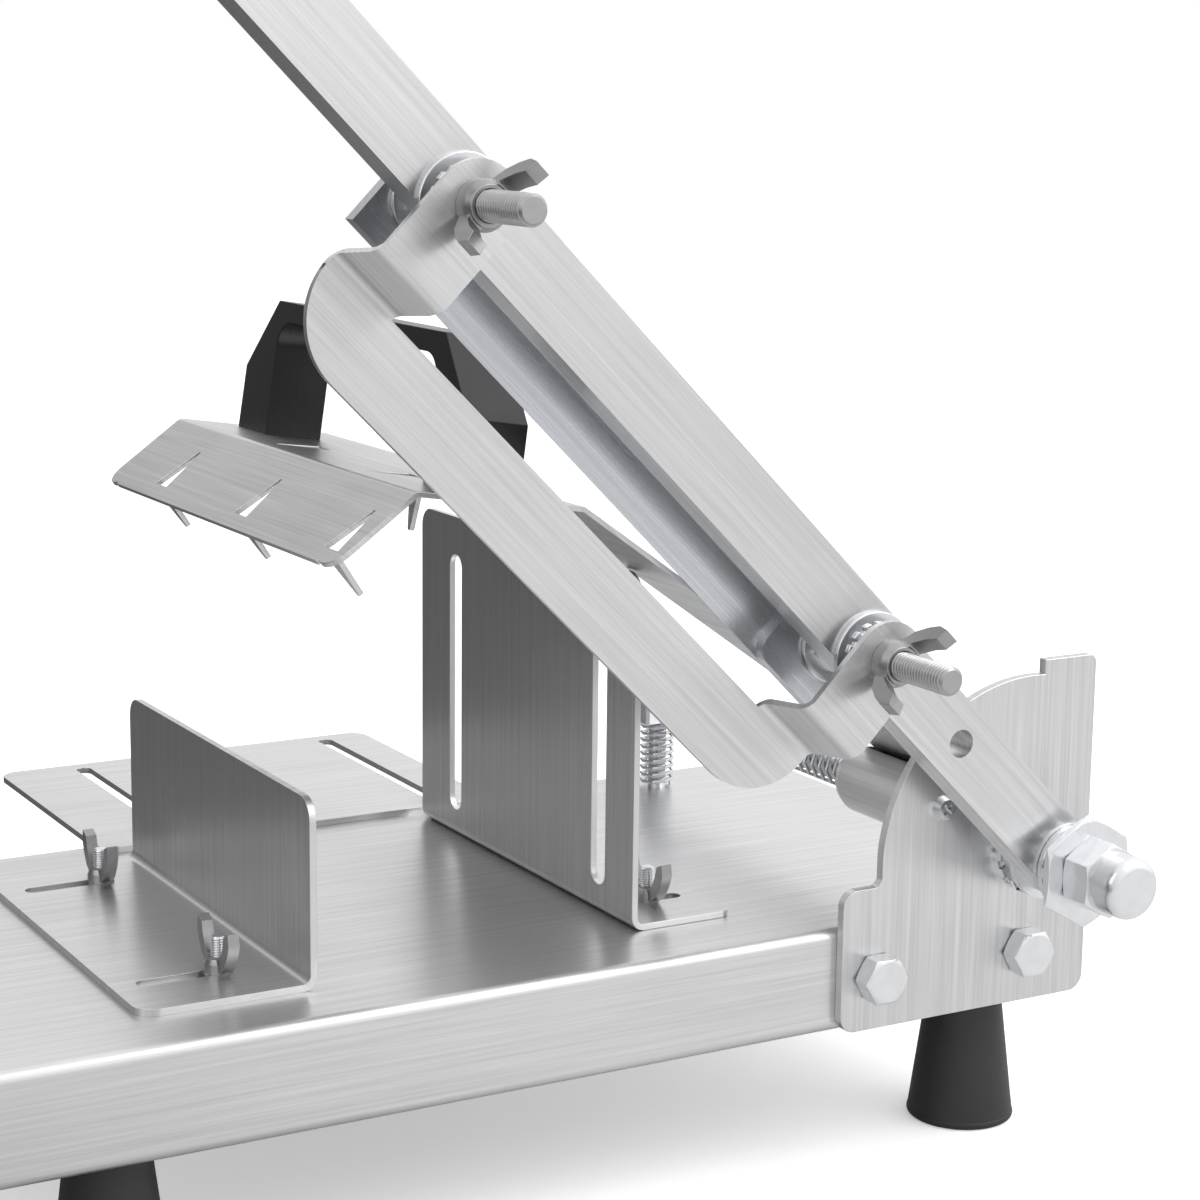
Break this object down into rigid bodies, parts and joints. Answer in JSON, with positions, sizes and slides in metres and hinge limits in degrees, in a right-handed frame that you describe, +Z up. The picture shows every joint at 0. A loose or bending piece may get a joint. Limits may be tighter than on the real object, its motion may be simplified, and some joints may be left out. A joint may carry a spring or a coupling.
{
  "type": "meat slicer",
  "caption": "Bench slicer worked by a lever arm: guides on a sheet base, a blade with a slice gauge on the arm, and a hinged press with claws.",
  "frame": {"origin": "on the floor, under the middle of the whole outline at rest", "axes": "+X along the base towards the pivot end, +Y from the blade side to the back, +Z up"},
  "size_m": [0.365, 0.3305, 0.4265],
  "materials": {
    "sheet": "brushed",
    "bar": "brushed lengthwise",
    "ground": "ground",
    "zinc": "zinc plated",
    "wing": "satin zinc plated",
    "wire": "drawn wire",
    "nylon": "moulded",
    "rubber": "moulded",
    "black": "fine grain"
  },
  "bodies": {
    "base": {"base_channel": "sheet", "rubber_feet": "rubber", "foot_washers": "zinc", "foot_bolts": "zinc", "foot_nuts": "zinc", "front_plate": "sheet", "plate_bolts": "zinc", "plate_nuts": "zinc", "pivot_bolt": "zinc", "pivot_spacers": "zinc", "pivot_washer": "zinc", "pivot_star_washer": "zinc", "pivot_thin_nut": "zinc", "pivot_nut": "zinc", "pivot_cap": "zinc", "low_guide_studs": "zinc", "low_guide_wing_nuts": "wing", "tall_guide_studs": "zinc", "tall_guide_wing_nuts": "wing", "tray_studs": "zinc", "tray_wing_nuts": "wing", "cross_rod": "zinc", "rod_screw": "zinc", "rear_post": "zinc", "post_block": "zinc", "upright_spring": "wire", "feed_spring": "wire"},
    "arm": {"arm_bar": "bar", "arm_grip": "rubber", "blade": "ground", "blade_bolts": "zinc", "rear_washers": "zinc", "rear_nuts": "zinc", "front_washers": "zinc", "front_star_washers": "zinc", "front_nuts": "zinc"},
    "gauge": {"gauge_plate": "sheet", "gauge_wing_nuts": "wing"},
    "low_guide_body": {"low_guide": "sheet"},
    "tall_guide_body": {"tall_guide": "sheet"},
    "tray_body": {"rear_tray": "sheet"},
    "press_carrier": {"hub_sleeve": "nylon", "hub_washers": "zinc"},
    "press": {"press_plate": "sheet", "press_handle": "black", "handle_screws": "zinc"}
  },
  "joints": [
    {"name": "arm_hinge", "type": "hinge", "parent": "base", "child": "arm", "pos_m": [0.15802, -0.12425, 0.0893], "axis": [0, 1, 0], "range_deg": [-46, 35]},
    {"name": "gauge_slide", "type": "slide", "parent": "arm", "child": "gauge", "axis": [0, -1, 0], "range_m": [0, 0.008]},
    {"name": "low_guide_slide", "type": "slide", "parent": "base", "child": "low_guide_body", "axis": [1, 0, 0], "range_m": [0, 0.0205]},
    {"name": "tall_guide_slide", "type": "slide", "parent": "base", "child": "tall_guide_body", "axis": [1, 0, 0], "range_m": [-0.0085, 0]},
    {"name": "tray_slide", "type": "slide", "parent": "base", "child": "tray_body", "axis": [0, 1, 0], "range_m": [-0.005, 0]},
    {"name": "press_slide", "type": "slide", "parent": "base", "child": "press_carrier", "axis": [0, 1, 0], "range_m": [0, 0.055], "stiffness_N_per_m": 560, "springref_m": -0.005, "deforming": ["feed_spring"]},
    {"name": "press_hinge", "type": "hinge", "parent": "press_carrier", "child": "press", "pos_m": [0.12652, -0.08025, 0.1055], "axis": [0, 1, 0], "range_deg": [0, 70]}
  ]
}
